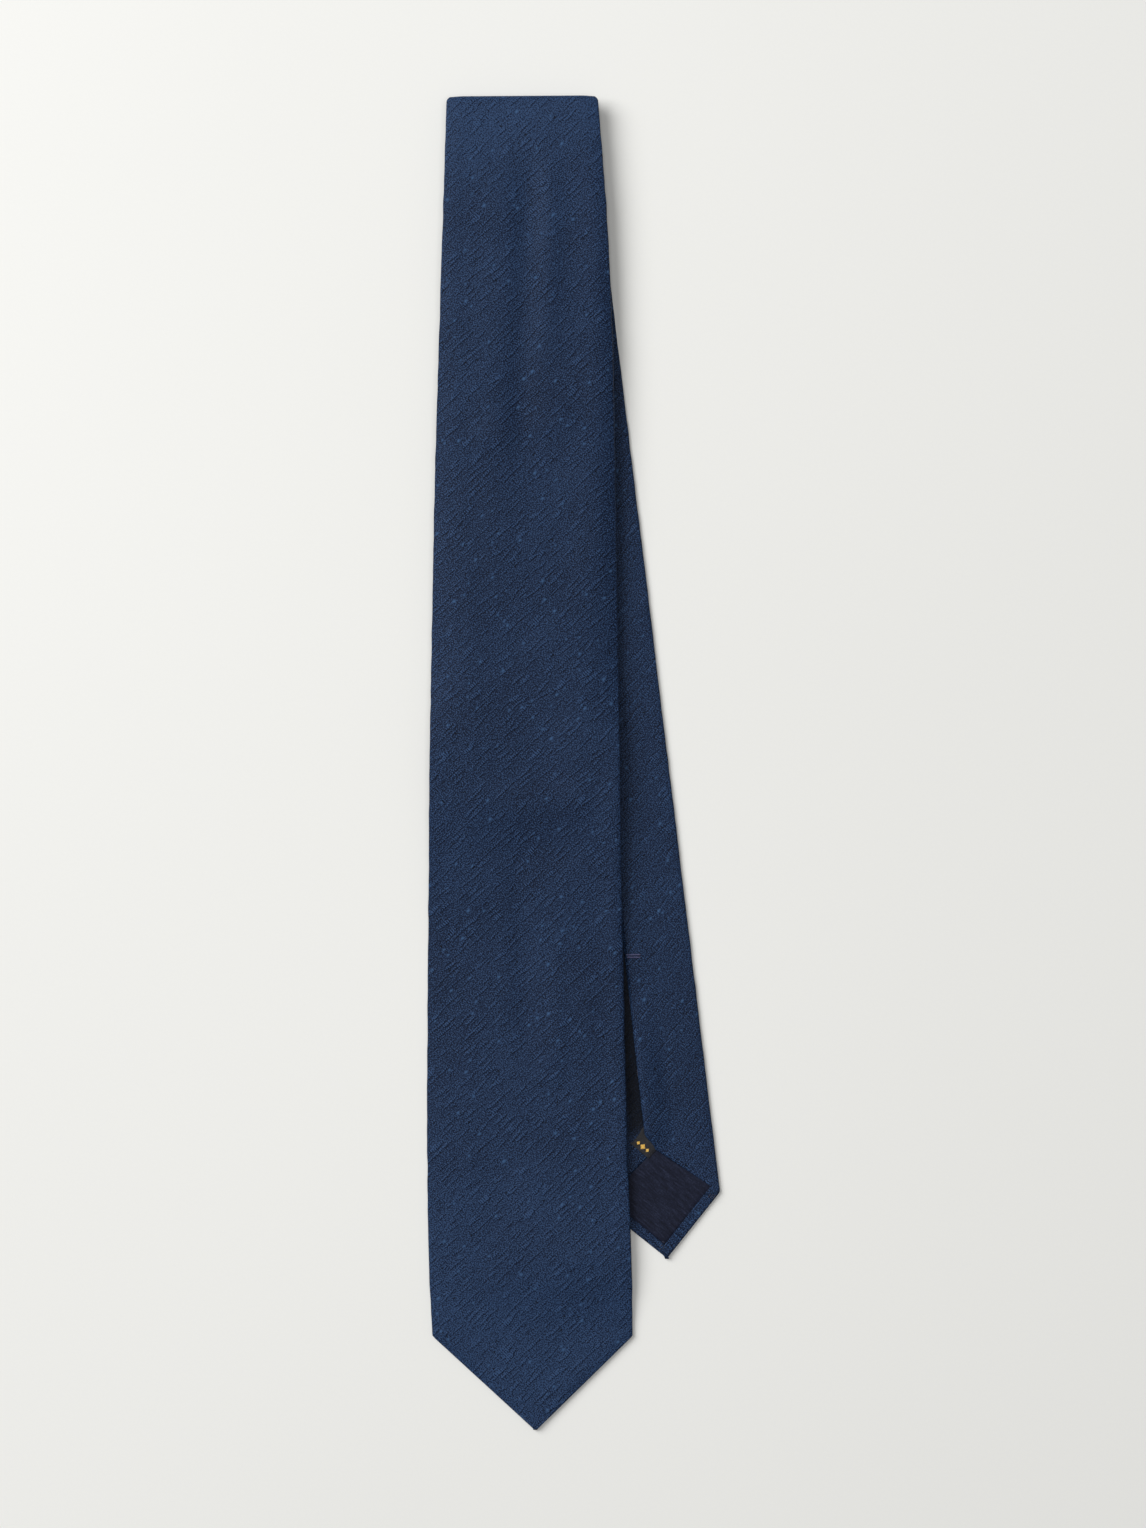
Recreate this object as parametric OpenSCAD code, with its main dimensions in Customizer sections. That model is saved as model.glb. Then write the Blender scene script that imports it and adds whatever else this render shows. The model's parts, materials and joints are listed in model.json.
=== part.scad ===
// Slub-silk necktie, folded in four and laid flat on a table: the wide blade on top with its
// face up, the neck in two hidden layers under it, and the narrow tail at the bottom, back up.
// +Y runs up to the top folds and +Z up from the table. Every leg is a flat sandwich of shell
// cloth, interlining and two back panels that meet along the middle.

/* [Blade] */
// Length of the blade from its point to the top fold
blade_len = 525; // [500:1:550]
// Widest width of the blade, a little above its corners
blade_w = 80; // [76:0.5:84]
// Width of the cloth at the blade's top fold
fold_w = 59.5; // [56:0.5:62]
// Height of the blade's point, from its tip up to its corners
blade_point = 37; // [34:0.5:40]
// Width of the hems along the edges of the blade's point
blade_hem = 6; // [4:0.5:8]
// Height above the tip at which the blade's back panels part
blade_parting = 71; // [64:1:80]

/* [Tail] */
// Length of the tail from its point to its fold
tail_len = 457.5; // [450:0.5:460]
// Width of the tail at its corners
tail_w = 47.4; // [46:0.2:48]
// Width of the tail where it folds at the top
tail_top_w = 40; // [38:0.5:41]
// Angle of the tail from the straight line down
tail_tilt = 6.4; // [6:0.1:6.6]
// Width of the right hem along the tail's point
tail_right_hem_w = 5.1; // [4:0.1:6]
// Width of the left hem along the tail's point
tail_left_hem_w = 4.3; // [3.5:0.1:5.5]
// Height above the tip at which the tail's back panels part
tail_parting = 43.5; // [41:0.5:46]

/* [Neck] */
// Length of each of the two hidden neck layers, from fold to fold
neck_len = 246; // [240:1:250]
// Narrowest width of the neck, at its own fold
neck_w = 38; // [34:0.5:40]
// Angle of the back neck layer from the straight line down, to the left
neck_tilt = -1.2; // [-1.5:0.1:-0.8]

/* [Cloth] */
// Thickness of the shell cloth
cloth = 0.35; // [0.3:0.05:0.4]
// Thickness of the interlining
padding = 1; // [0.8:0.1:1.2]
// Free space between two layers that lie on each other
gap = 0.3; // [0.25:0.05:0.4]
// Distance that the right back panel's folded edge runs left of the middle
lap = 3.4; // [2.5:0.1:4]
// Distance that the left back panel runs right of the middle, under the right one
underlap = 2; // [1.5:0.1:2.5]

/* [Keeper and label] */
// Span of the keeper loop across the blade's back
keeper_span = 52; // [46:1:52]
// Width of the keeper loop's strap
keeper_w = 12; // [10:1:16]
// Height of the keeper loop above the blade's tip
keeper_up = 190; // [184:1:200]
// Width of the woven label on the tail's back
label_w = 9.6; // [8:0.1:10]

/* [Hidden] */

// Colours of the cloth, the lining, the threads and the label
silk = [0.15, 0.2, 0.29];
silk_back = [0.13, 0.18, 0.28];
lining = [0.14, 0.16, 0.22];
wool = [0.85, 0.83, 0.78];
thread = [0.16, 0.15, 0.28];
satin = [0.17, 0.17, 0.18];
gold = [0.8, 0.62, 0.3];

// Heights: one leg is three cloths and the interlining; legs lie a pitch apart
leg_h = 3 * cloth + padding;
pitch = leg_h + gap;
roll_r = pitch - gap / 2;     // radius of the cloth's roll round a fold
stop = roll_r + gap;          // legs end this far short of a fold's axis
back_h = cloth + padding;     // height of the back panels above a leg's face
lap_h = back_h + cloth;       // height of the lapped strip above a leg's face
thread_d = 0.3;               // sewing thread
tack_d = 0.42;                // doubled thread of a bar tack
tack_len = 4.4;               // length of a bar tack, across the leg
tack_up = 120;                // height of the bar tack above the tip, on the blade and the tail
slip_count = 14;              // slip stitches that show along one leg
slip_len = 3;                 // length of each
reach = 500;                  // longer than any leg

// Places of the two points and of the three folds' axes
blade_tip = [-14.7, -blade_len / 2];
tail_tip = [37.1, -194.9];
function up(a) = [-sin(a), cos(a)];
back_axis = tail_tip + tail_len * up(tail_tilt);
neck_axis = back_axis - neck_len * up(neck_tilt);
front_axis = [blade_tip.x - 5.25, blade_len / 2 - roll_r];
front_rise = front_axis - neck_axis;
front_tilt = atan2(-front_rise.x, front_rise.y);
front_len = norm(front_rise);
blade_tilt = 0.56;

// A fold's crease lies square to the line that halves the angle between its two legs
back_crease = (tail_tilt + neck_tilt) / 2;
neck_crease = (neck_tilt + front_tilt) / 2;
front_crease = (front_tilt + blade_tilt) / 2;

// ---- flat legs ------------------------------------------------------------------------------

// Places a flat leg, drawn back up with its foot at the origin and running up +Y
module place(foot, tilt, level) translate([foot.x, foot.y, level * pitch]) rotate(tilt) children();

// Turns a flat leg over in its own thickness, so that its face is up
module face_up() translate([0, 0, leg_h]) mirror([0, 0, 1]) children();

// One flat layer of a leg, between two heights above the leg's face
module layer(low, high) translate([0, 0, low]) linear_extrude(high - low) children();

// Outline of a leg with half width hw(s), between two heights whose ends follow the creases
module leg_outline(hw, s0, s1, cut0, cut1, steps = 8) {
    s = [for (i = [0:steps]) s0 + (s1 - s0) * i / steps];
    cut = [for (i = [0:steps]) i == 0 ? tan(cut0) : i == steps ? tan(cut1) : 0];
    right = [for (i = [0:steps]) [hw(s[i]), s[i] + hw(s[i]) * cut[i]]];
    left = [for (i = [steps:-1:0]) [-hw(s[i]), s[i] - hw(s[i]) * cut[i]]];
    polygon(concat(right, left));
}

// Everything left of the join between the back panels, and everything right of it
module left_side() polygon([[-reach, -reach], [underlap, -reach], [underlap, reach], [-reach, reach]]);
module right_side() polygon([[underlap, -reach], [reach, -reach], [reach, reach], [underlap, reach]]);
module lap_strip() polygon([[-lap, -reach], [underlap + 1, -reach], [underlap + 1, reach], [-lap, reach]]);

// Running stitches along the lapped edge, in the corner that it makes with the panel under it
module slip_stitches(s0, s1) {
    for (i = [0:slip_count - 1])
        translate([-lap - thread_d / 2, s0 + (s1 - s0) * (i + 0.5) / slip_count,
            lap_h + thread_d / 2])
            rotate([90, 0, 0]) cylinder(h = slip_len, d = thread_d, center = true, $fn = 16);
}

// A short thread lying flat, centred at (u, s), turned by an angle, with its foot at a height
module flat_thread(u, s, angle, length, d, foot)
    translate([u, s, foot + d / 2]) rotate(angle) rotate([0, 90, 0])
        cylinder(h = length, d = d, center = true, $fn = 16);

// ---- tail -----------------------------------------------------------------------------------

tail_corner = tail_w / 2;
parting_slope = (tail_parting - tail_corner) / tail_corner;
hem_rise = [tail_right_hem_w, tail_left_hem_w] * sqrt(2);
mitre = 2.85;                               // the right hem laps this far over the left at the tip
hem_meet = [(hem_rise[1] - hem_rise[0]) / 2, (hem_rise[0] + hem_rise[1]) / 2];

module place_tail() place(tail_tip, tail_tilt, 0) children();

function tail_edge(s) = tail_corner
    + (tail_top_w - tail_w) / 2 * (s - tail_corner) / (tail_len - tail_corner);

module tail_outline(inset = 0) {
    top = tail_len - stop;
    cut = tan(back_crease - tail_tilt);
    w = tail_edge(top) - inset;
    c = tail_corner - inset;
    polygon([[0, inset * sqrt(2)], [c, tail_corner + inset * 0.4], [w, top + w * cut],
        [-w, top - w * cut], [-c, tail_corner + inset * 0.4]]);
}

// The tail's back is parted below this line, which falls from the middle to both corners
module tail_above_parting()
    polygon([[-tail_w, tail_parting - parting_slope * tail_w], [0, tail_parting],
        [tail_w, tail_parting - parting_slope * tail_w], [tail_w, reach], [-tail_w, reach]]);

module tail_left_flat() intersection() { tail_outline(); tail_above_parting(); left_side(); }
module tail_right_flat() intersection() { tail_outline(); tail_above_parting(); right_side(); }
module tail_lap_flat() intersection() {
    tail_outline();
    tail_above_parting();
    polygon([[-lap, tail_parting + 2 * lap], [0, tail_parting], [underlap + 1, 0],
        [underlap + 1, reach], [-lap, reach]]);
}
module right_hem_zone() polygon([[-mitre, mitre], [0, 0], [tail_w, tail_w],
    [tail_w, tail_w + hem_rise[0]], hem_meet]);
module left_hem_zone() polygon([[-mitre, mitre], hem_meet, [-tail_w, tail_w + hem_rise[1]],
    [-tail_w, tail_w]]);

module tail_face() color(silk) place_tail() layer(0, cloth) tail_outline();

module tail_interlining() color(wool) place_tail() layer(cloth, back_h) tail_outline(1);

module tail_left_panel() color(silk_back) place_tail() layer(back_h, lap_h) tail_left_flat();

module tail_right_panel() color(silk_back) place_tail() {
    layer(back_h, lap_h) tail_right_flat();
    layer(lap_h, leg_h) tail_lap_flat();
}

module tail_right_hem() color(silk_back) place_tail() layer(back_h, lap_h) difference() {
    intersection() { tail_outline(); right_hem_zone(); }
    tail_above_parting();
}

module tail_left_hem() color(silk_back) place_tail() layer(back_h, lap_h) difference() {
    intersection() { tail_outline(); left_hem_zone(); }
    tail_above_parting();
}

module tail_tipping() color(lining) place_tail() layer(back_h, lap_h - 0.05) difference() {
    tail_outline();
    tail_above_parting();
    right_hem_zone();
    left_hem_zone();
}

module tail_bar_tack() color(thread) place_tail()
    for (side = [-1, 1])
        flat_thread(-0.4, tack_up + side * 0.55 * tack_d, -tail_tilt, tack_len, tack_d, leg_h);

module tail_slip_stitch() color(thread) place_tail() slip_stitches(60, tail_len - 10);

module tail_tip_stitch() color(thread) place_tail()
    for (i = [0:2])
        flat_thread(hem_meet.x - 0.75 * i, hem_meet.y - 1.3 * i - 0.5, -28, 1.3, thread_d, lap_h);

module tail_corner_stitch() color(thread) place_tail()
    for (i = [0:1]) flat_thread(tail_corner - 2.2 - 1.1 * i, tail_corner - 1.4 + 0.4 * i, 55, 2,
        thread_d, lap_h);

// The label lies slantwise on the left panel and runs under the lapped edge
label_foot = [-6.1, 43.45];       // middle of its lower short side
label_turn = -46;                 // angle of that side
label_t = 0.2;
module label_flat() difference() {
    translate(label_foot) rotate(label_turn)
        polygon([[-label_w / 2, 0], [label_w / 2, 0], [label_w / 2, 9], [-label_w / 2, 9]]);
    tail_lap_flat();
    right_side();
}

module label() color(satin) place_tail() layer(lap_h, lap_h + label_t) label_flat();

module lozenge(across, along) polygon([[-across / 2, 0], [0, -along / 2], [across / 2, 0],
    [0, along / 2]]);

// A plain row of three woven lozenges
module label_motif() color(gold) place_tail() layer(lap_h + label_t, lap_h + label_t + 0.08)
    translate(label_foot) rotate(label_turn)
        for (i = [-1:1]) translate([2.1 * i, 1.9]) lozenge(i == 0 ? 1.9 : 1.2, i == 0 ? 2.4 : 1.5);

module label_stitches() color(thread) place_tail()
    translate(label_foot) rotate(label_turn)
        for (side = [-1, 1], i = [0:1])
            flat_thread(side * (label_w / 2 - 0.5), 0.8 + 1.1 * i, 90, 0.8, 0.2, lap_h + label_t);

// ---- neck, back layer (face up) -------------------------------------------------------------

module place_neck_back() place(neck_axis, neck_tilt, 1) face_up() children();

function neck_back_edge(s) = (neck_w + (tail_top_w - neck_w) * s / neck_len) / 2;

module neck_back_flat(inset = 0) leg_outline(function(s) neck_back_edge(s) - inset,
    stop, neck_len - stop, neck_crease - neck_tilt, back_crease - neck_tilt, 1);

// A diagonal join between two lengths of shell cloth, halfway up a neck layer
module below_join(middle) polygon([[-reach, -reach], [reach, -reach],
    [reach, middle + reach], [-reach, middle - reach]]);

module neck_back_neck_cloth() color(silk) place_neck_back() layer(0, cloth)
    intersection() { neck_back_flat(); below_join(neck_len / 2); }

module neck_back_tail_cloth() color(silk) place_neck_back() layer(0, cloth)
    difference() { neck_back_flat(); below_join(neck_len / 2); }

module neck_back_interlining() color(wool) place_neck_back() layer(cloth, back_h) neck_back_flat(1);

module neck_back_left_panel() color(silk_back) place_neck_back() layer(back_h, lap_h)
    intersection() { neck_back_flat(); left_side(); }

module neck_back_right_panel() color(silk_back) place_neck_back() {
    layer(back_h, lap_h) intersection() { neck_back_flat(); right_side(); }
    layer(lap_h, leg_h) intersection() { neck_back_flat(); lap_strip(); }
}

module neck_back_slip_stitch() color(thread) place_neck_back() slip_stitches(12, neck_len - 12);

// ---- folds ----------------------------------------------------------------------------------

// The cloth's roll round a fold: centre of its axis, its angle, its level and its width
module roll(axis, crease, level, width)
    translate([axis.x, axis.y, level * pitch - gap / 2]) rotate(crease) rotate([0, 90, 0])
        cylinder(h = width, r = roll_r, center = true, $fn = 48);

module back_fold_roll() color(silk) roll(back_axis, back_crease, 1, tail_top_w);

module neck_fold_roll() color(silk_back) roll(neck_axis, neck_crease, 2, neck_w);

module front_fold_roll() color(silk) roll(front_axis, front_crease, 3, fold_w);

// ---- neck, front layer (back up) ------------------------------------------------------------

module place_neck_front() place(neck_axis, front_tilt, 2) children();

// The neck widens towards the blade, slowly at first
function neck_front_edge(s) = (neck_w + (fold_w - neck_w) * pow(s / front_len, 1.5)) / 2;

module neck_front_flat(inset = 0) leg_outline(function(s) neck_front_edge(s) - inset,
    stop, front_len - stop, neck_crease - front_tilt, front_crease - front_tilt);

module neck_front_neck_cloth() color(silk) place_neck_front() layer(0, cloth)
    intersection() { neck_front_flat(); below_join(front_len / 2); }

module neck_front_blade_cloth() color(silk) place_neck_front() layer(0, cloth)
    difference() { neck_front_flat(); below_join(front_len / 2); }

module neck_front_interlining() color(wool) place_neck_front() layer(cloth, back_h)
    neck_front_flat(1);

module neck_front_left_panel() color(silk_back) place_neck_front() layer(back_h, lap_h)
    intersection() { neck_front_flat(); left_side(); }

module neck_front_right_panel() color(silk_back) place_neck_front() {
    layer(back_h, lap_h) intersection() { neck_front_flat(); right_side(); }
    layer(lap_h, leg_h) intersection() { neck_front_flat(); lap_strip(); }
}

module neck_front_slip_stitch() color(thread) place_neck_front() slip_stitches(12, front_len - 12);

// ---- blade (face up, draped) ----------------------------------------------------------------

// Width and sideways place of the middle line at heights above the tip, joined smoothly
blade_widths = [[0, blade_w * 0.01], [blade_point, blade_w * 0.986], [67, blade_w],
    [186, blade_w * 0.961], [312, blade_w * 0.917], [444, blade_w * 0.844], [blade_len, fold_w]];
blade_middle = [[0, 0], [67, -2.2], [123, -3.5], [250, -4.2], [375, -4.1], [457, -3.8],
    [blade_len, -5.25]];

function ramp(t) = let (c = min(max(t, 0), 1)) c * c * (3 - 2 * c);
function mix(a, b, t) = a + (b - a) * t;

// Value at s of a smooth curve through [s, value] pairs, whose slope at each pair is that of
// the line between its neighbours
function slope(p, i) = let (a = max(i - 1, 0), b = min(i + 1, len(p) - 1))
    (p[b][1] - p[a][1]) / (p[b][0] - p[a][0]);
function smooth(p, s, i = 0) = i < len(p) - 2 && s > p[i + 1][0] ? smooth(p, s, i + 1)
    : let (d = p[i + 1][0] - p[i][0], t = (s - p[i][0]) / d)
        mix(p[i][1], p[i + 1][1], ramp(t))
        + d * t * (1 - t) * ((1 - t) * slope(p, i) - t * slope(p, i + 1));

above_corners = [for (i = [1:len(blade_widths) - 1]) blade_widths[i]];
function blade_half(s) = s < blade_point
    ? mix(blade_widths[0][1], blade_widths[1][1], s / blade_point) / 2
    : smooth(above_corners, s) / 2;
function blade_x(u, s) = blade_tip.x + smooth(blade_middle, s) + u;

// Height of the blade's underside: flat over the two neck layers, then down in a long slope
// to the table on the left and to the tail on the right, and flat on the table past the tail
table_clear = 0.3;
over_tail = leg_h + 1.4;          // the keeper loop hangs in this room
slope_top = neck_axis.y - roll_r - 1;
slope_foot = -80;
tail_gone = [-225, -192];
blade_left_x = blade_tip.x - 42.5;
function tail_left_x(y) = tail_tip.x - (y - tail_tip.y) * tan(tail_tilt) - tail_corner;
function low_z(x, y) = table_clear + (over_tail - table_clear)
    * ramp((y - tail_gone[0]) / (tail_gone[1] - tail_gone[0]))
    * min(max((x - blade_left_x) / (tail_left_x(y) - blade_left_x), 0), 1);
function blade_z(x, y) = mix(low_z(x, y), 3 * pitch,
    ramp((y - slope_foot) / (slope_top - slope_foot)));

// Heights above the tip at which a blade sheet has a row of points: few where it is flat
rows = [1, 15, 28, blade_point, 44, 52, 62, 72, 87, 112, 142, 172, 192, 206, 218, 230, 242, 254,
    266, 278, 320, 375, 430, 480, blade_len - roll_r - stop];

// A sheet of the blade between offsets left(s) and right(s) from the middle line, and between
// two heights above the underside, closed all round, with cells columns of triangles
module sheet(left, right, low, high, s0, s1, cells) {
    inner = [for (s = rows) if (s > s0 + 1 && s < s1 - 1) s];
    s = concat([s0], inner, [s1]);
    n = cells + 1;
    m = len(s);
    skin = function(h) [for (si = s, k = [0:cells])
        let (x = blade_x(mix(left(si), right(si), k / cells), si), y = blade_tip.y + si)
            [x, y, blade_z(x, y) + h]];
    at = function(side, j, k) side * n * m + j * n + k;
    tops = [for (j = [0:m - 2], k = [0:cells - 1]) each [
        [at(1, j, k), at(1, j + 1, k + 1), at(1, j, k + 1)],
        [at(1, j, k), at(1, j + 1, k), at(1, j + 1, k + 1)]]];
    bottoms = [for (j = [0:m - 2], k = [0:cells - 1]) each [
        [at(0, j, k), at(0, j, k + 1), at(0, j + 1, k + 1)],
        [at(0, j, k), at(0, j + 1, k + 1), at(0, j + 1, k)]]];
    rim = concat([for (k = [0:cells - 1]) [0, k]], [for (j = [0:m - 2]) [j, cells]],
        [for (k = [cells:-1:1]) [m - 1, k]], [for (j = [m - 1:-1:1]) [j, 0]]);
    walls = [for (i = [0:len(rim) - 1]) let (a = rim[i], b = rim[(i + 1) % len(rim)]) each [
        [at(0, a[0], a[1]), at(1, a[0], a[1]), at(1, b[0], b[1])],
        [at(0, a[0], a[1]), at(1, b[0], b[1]), at(0, b[0], b[1])]]];
    polyhedron(concat(skin(low), skin(high)), concat(tops, bottoms, walls));
}

blade_top = blade_len - roll_r - stop;
seam_gap = 0.15;                                 // between pieces that meet edge to edge
ply_gap = 0.08;                                  // between the interlining and the cloth round it
hem_up = blade_hem / sin(atan(blade_w * 0.493 / blade_point));
function blade_hem_half(s) = blade_half(blade_point) * (s - hem_up) / blade_point;
function parting_half(s) = blade_half(blade_point) * (blade_parting - s)
    / (blade_parting - blade_point);

// Heights in the blade, from its underside: lapped strip, back panels, interlining, face
module blade_face() color(silk)
    sheet(function(s) -blade_half(s), function(s) blade_half(s), cloth * 2 + padding, leg_h,
        0.2, blade_top, 8);

module blade_interlining() color(wool)
    sheet(function(s) -blade_half(s) + 1, function(s) blade_half(s) - 1, cloth * 2 + ply_gap,
        cloth * 2 + padding - ply_gap, 3, blade_top, 8);

module blade_left_panel() color(silk_back)
    sheet(function(s) -blade_half(s),
        function(s) s > blade_parting ? underlap - seam_gap : -max(parting_half(s), 0) - seam_gap,
        cloth, 2 * cloth, blade_point + 1, blade_top, 5);

module blade_right_panel() color(silk_back) {
    sheet(function(s) s > blade_parting ? underlap : max(parting_half(s), 0) + underlap,
        function(s) blade_half(s), cloth, 2 * cloth, blade_point + 3, blade_top, 5);
    sheet(function(s) -lap, function(s) underlap + 1, 0, cloth, blade_parting + lap, blade_top, 1);
}

module blade_tipping() color(lining)
    sheet(function(s) -min(blade_hem_half(s), parting_half(s)) + seam_gap,
        function(s) min(blade_hem_half(s), parting_half(s)) - seam_gap,
        cloth, 2 * cloth - 0.05, hem_up + 0.6, blade_parting - 1, 4);

module blade_left_hem() color(silk_back)
    sheet(function(s) -blade_half(s), function(s) min(-blade_hem_half(s), -0.05),
        cloth, 2 * cloth, 1, blade_point, 2);

module blade_right_hem() color(silk_back)
    sheet(function(s) max(blade_hem_half(s), 0.05), function(s) blade_half(s),
        cloth, 2 * cloth, 1, blade_point, 2);

// A short thread across or along the blade's back, hung under it at a height
module blade_thread(u, s, angle, length, d, top) {
    x = blade_x(u, s);
    y = blade_tip.y + s;
    translate([x, y, blade_z(x, y) + top - d / 2]) rotate(angle) rotate([0, 90, 0])
        cylinder(h = length, d = d, center = true, $fn = 16);
}

module blade_bar_tack() color(thread)
    for (side = [-1, 1])
        blade_thread(-0.4, tack_up + side * 0.55 * tack_d, 0, tack_len, tack_d, -ply_gap);

module blade_slip_stitch() color(thread)
    for (i = [0:slip_count - 1])
        blade_thread(-lap - thread_d / 2 - 0.3, 130 + 27 * i, 90, slip_len, thread_d, cloth - ply_gap);

module blade_tip_stitch() color(thread)
    for (i = [0:2]) blade_thread(0, 4 + 1.6 * i, 0, 1.3, 0.2, cloth - ply_gap);

// The keeper loop: a strap across the back, held at both ends, with room above it for the tail
keeper_end = 2.5;       // each end sewn to the back
keeper_strap = 0.4;
keeper_drop = 0.8;      // from the lapped strip down to the strap's underside
module keeper_loop() color(silk_back) {
    low = keeper_up - keeper_w / 2;
    high = keeper_up + keeper_w / 2;
    half = keeper_span / 2;
    inner = half - keeper_end;
    sheet(function(s) -half, function(s) -inner, -keeper_drop, cloth, low, high, 1);
    sheet(function(s) inner, function(s) half, -keeper_drop, cloth, low, high, 1);
    sheet(function(s) -inner, function(s) inner, -keeper_drop, keeper_strap - keeper_drop,
        low, high, 6);
}

module keeper_stitches() color(thread)
    for (side = [-1, 1], i = [-2:2])
        blade_thread(side * (keeper_span / 2 + 0.5), keeper_up + 2.2 * i, 0, 0.7, 0.2, cloth - ply_gap);

// ---- nodes ----------------------------------------------------------------------------------

tail_face();
tail_interlining();
tail_left_panel();
tail_right_panel();
tail_tipping();
tail_left_hem();
tail_right_hem();
tail_bar_tack();
tail_slip_stitch();
tail_tip_stitch();
tail_corner_stitch();
label();
label_motif();
label_stitches();
neck_back_neck_cloth();
neck_back_tail_cloth();
neck_back_interlining();
neck_back_left_panel();
neck_back_right_panel();
neck_back_slip_stitch();
back_fold_roll();
neck_fold_roll();
neck_front_neck_cloth();
neck_front_blade_cloth();
neck_front_interlining();
neck_front_left_panel();
neck_front_right_panel();
neck_front_slip_stitch();
front_fold_roll();
blade_face();
blade_interlining();
blade_left_panel();
blade_right_panel();
blade_tipping();
blade_left_hem();
blade_right_hem();
blade_bar_tack();
blade_slip_stitch();
blade_tip_stitch();
keeper_loop();
keeper_stitches();
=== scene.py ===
# %% [markdown]
# # A slub silk necktie, folded in four
# A tie is one long ribbon of silk cut on the bias. Its two sides are turned in over a wool
# interlining and lap along the middle of the back. Here it lies folded in four: the wide
# blade on top, two runs of neck hidden under it, and the narrow tail with its back up.
#
# The ribbon could be draped by a cloth simulation, but its padded runs lie nearly flat, so
# each run is computed instead as a closed profile carried along the run. That way the rolled
# edges, the lapped seam, the hems and the mitred point all come from a few lines of pattern.

# %% Load the frame
import json
import math

import bpy
import numpy as np
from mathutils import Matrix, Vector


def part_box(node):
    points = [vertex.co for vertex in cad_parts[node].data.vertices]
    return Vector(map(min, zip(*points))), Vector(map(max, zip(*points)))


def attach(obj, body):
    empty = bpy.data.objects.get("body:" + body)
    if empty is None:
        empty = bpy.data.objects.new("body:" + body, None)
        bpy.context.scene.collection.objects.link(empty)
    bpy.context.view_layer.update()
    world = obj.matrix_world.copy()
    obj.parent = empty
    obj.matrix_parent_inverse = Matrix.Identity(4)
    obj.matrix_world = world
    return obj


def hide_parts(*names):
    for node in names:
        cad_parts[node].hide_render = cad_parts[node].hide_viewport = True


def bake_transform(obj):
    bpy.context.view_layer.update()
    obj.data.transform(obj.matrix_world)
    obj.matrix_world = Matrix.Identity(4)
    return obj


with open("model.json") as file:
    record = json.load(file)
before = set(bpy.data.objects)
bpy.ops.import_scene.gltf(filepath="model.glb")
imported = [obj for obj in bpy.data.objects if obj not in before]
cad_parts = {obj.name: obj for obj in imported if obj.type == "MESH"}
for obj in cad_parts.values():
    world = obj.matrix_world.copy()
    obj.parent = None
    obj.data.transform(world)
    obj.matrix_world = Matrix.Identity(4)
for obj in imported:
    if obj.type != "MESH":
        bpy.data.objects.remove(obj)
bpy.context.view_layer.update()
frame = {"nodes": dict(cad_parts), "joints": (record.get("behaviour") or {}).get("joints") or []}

MM = 0.001          # the pattern is worked out in millimetres

# %% [markdown]
# ## The four runs between the folds
# Each run has a foot, a direction and an outline. They come from the frame: the folds are its
# hinges, the points are the lowest corners of the cloth, and the outline is read off the
# cloth's own edges, so that nothing has to be fitted by eye.

# %% Folds and points
def flat_angle(axis):
    """Angle of a fold's crease from the x axis, in radians, for an axis drawn either way."""
    a = math.atan2(axis[1], axis[0])
    return a if abs(a) < math.pi / 2 else a - math.copysign(math.pi, a)


folds = {j["name"]: (np.array(j["pos_m"]) / MM, flat_angle(j["axis"])) for j in frame["joints"]}


def node_points(node):
    """A node's corners in millimetres."""
    return np.array([v.co for v in frame["nodes"][node].data.vertices], float) / MM


def tip_of(node):
    """The lowest corner of a node in the plan."""
    p = node_points(node)
    return p[p[:, 1].argmin(), :2]


def ramp(t):
    """Smooth step: 3t^2 - 2t^3 with t held between 0 and 1."""
    t = np.clip(t, 0, 1)
    return t * t * (3 - 2 * t)


def bump(x, middle, width):
    """Bell curve exp(-((x - middle) / width)^2)."""
    return np.exp(-((x - middle) / width) ** 2)


# %% [markdown]
# A run knows how to turn its own coordinates into the frame's: u runs to the right across it,
# s runs up along it, and h is the depth under the outer surface of its face. Rows of points
# lie square to the run, but near a fold they turn until they are parallel to the crease.

# %% A run of the tie
THICK = 2.05        # face, interlining, panel and the lapped strip
TURN = 30.0         # rows turn towards the crease over this length
STRIP = 12.0        # the cloth of a fold reaches this far along each run


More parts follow.
